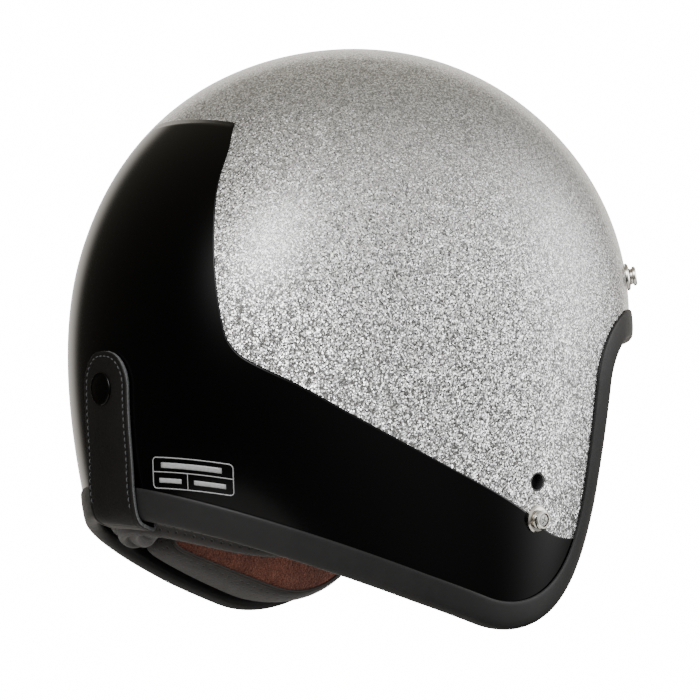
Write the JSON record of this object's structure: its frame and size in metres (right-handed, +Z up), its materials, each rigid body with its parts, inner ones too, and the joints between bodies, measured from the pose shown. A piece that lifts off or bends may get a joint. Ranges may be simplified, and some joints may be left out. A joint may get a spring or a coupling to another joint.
{
  "type": "open face motorcycle helmet",
  "caption": "Open face motorcycle helmet: gloss shell, rubber edge trim, foam and fabric lining, snap studs, rear goggle strap and chin strap with ratchet buckle.",
  "frame": {"origin": "on the symmetry plane at the level of the rim, below the middle of the shell", "axes": "+X towards the wearer's left, -Y the way the face looks, +Z up; the trim rests on Z = 0"},
  "size_m": [0.2416, 0.2659, 0.2644],
  "materials": {
    "shell_paint": "silver metal-flake paint under a gloss clear coat, with a gloss black panel",
    "trim_rubber": "matte dark grey extruded rubber",
    "eps_foam": "moulded bead foam",
    "plush": "short reddish-brown plush",
    "lining_fabric": "dark perforated lining fabric",
    "black_plastic": "moulded, satin",
    "nickel": "polished nickel plate",
    "screw_steel": "zinc plated",
    "strap_leather": "matte, stitched near both edges",
    "black_lacquer": "gloss black lacquer",
    "webbing": "flat woven nylon webbing",
    "buckle_plastic": "moulded, fine grain",
    "lever_plastic": "moulded red, fine grain",
    "tongue_plastic": "moulded, satin"
  },
  "bodies": {
    "root": {"outer_shell": "shell_paint", "edge_trim": "trim_rubber", "eps_liner": "eps_foam", "crown_liner": "plush", "brow_band": "lining_fabric", "neck_roll": "lining_fabric", "cheek_plate_left": "black_plastic", "cheek_plate_right": "black_plastic", "cheek_pad_left": "lining_fabric", "cheek_pad_right": "lining_fabric", "side_snap_studs": "nickel", "brow_snap_studs": "nickel", "stud_screws": "screw_steel", "stud_nuts": "screw_steel", "side_vent_cups": "black_plastic", "goggle_strap_root": "strap_leather", "goggle_root_rivets": "screw_steel", "goggle_stud": "nickel", "chin_anchor_plates": "screw_steel", "chin_anchor_rivets": "screw_steel", "chin_strap_root_left": "webbing", "chin_strap_root_right": "webbing"},
    "goggle_strap": {"goggle_strap": "strap_leather", "goggle_strap_socket": "nickel", "goggle_strap_cap": "black_lacquer"},
    "chin_strap_left": {"chin_webbing_left": "webbing", "chin_sleeve_left": "lining_fabric", "buckle_housing": "buckle_plastic", "buckle_bar": "screw_steel", "buckle_lever_pin": "screw_steel", "buckle_lever_spring": "screw_steel"},
    "buckle_lever": {"buckle_lever": "lever_plastic"},
    "chin_strap_right": {"chin_webbing_right": "webbing", "chin_sleeve_right": "lining_fabric", "buckle_tongue": "tongue_plastic", "strap_keeper": "trim_rubber"}
  },
  "joints": [
    {"name": "goggle_strap_hinge", "type": "hinge", "parent": "root", "child": "goggle_strap", "pos_m": [0, 0.1026, 0.0014], "axis": [-1, 0, 0], "range_deg": [0, 90]},
    {"name": "chin_strap_left_swing", "type": "hinge", "parent": "root", "child": "chin_strap_left", "pos_m": [0.0625, -0.045, 0.038], "axis": [0, -1, 0], "range_deg": [0, 170]},
    {"name": "chin_strap_right_swing", "type": "hinge", "parent": "root", "child": "chin_strap_right", "pos_m": [-0.0625, -0.045, 0.038], "axis": [0, 1, 0], "range_deg": [0, 170]},
    {"name": "buckle_lever_hinge", "type": "hinge", "parent": "chin_strap_left", "child": "buckle_lever", "pos_m": [0.06, -0.045, 0.124], "axis": [0, -1, 0], "range_deg": [0, 35], "stiffness_Nm_per_rad": 0.02, "springref_deg": -11.46}
  ]
}
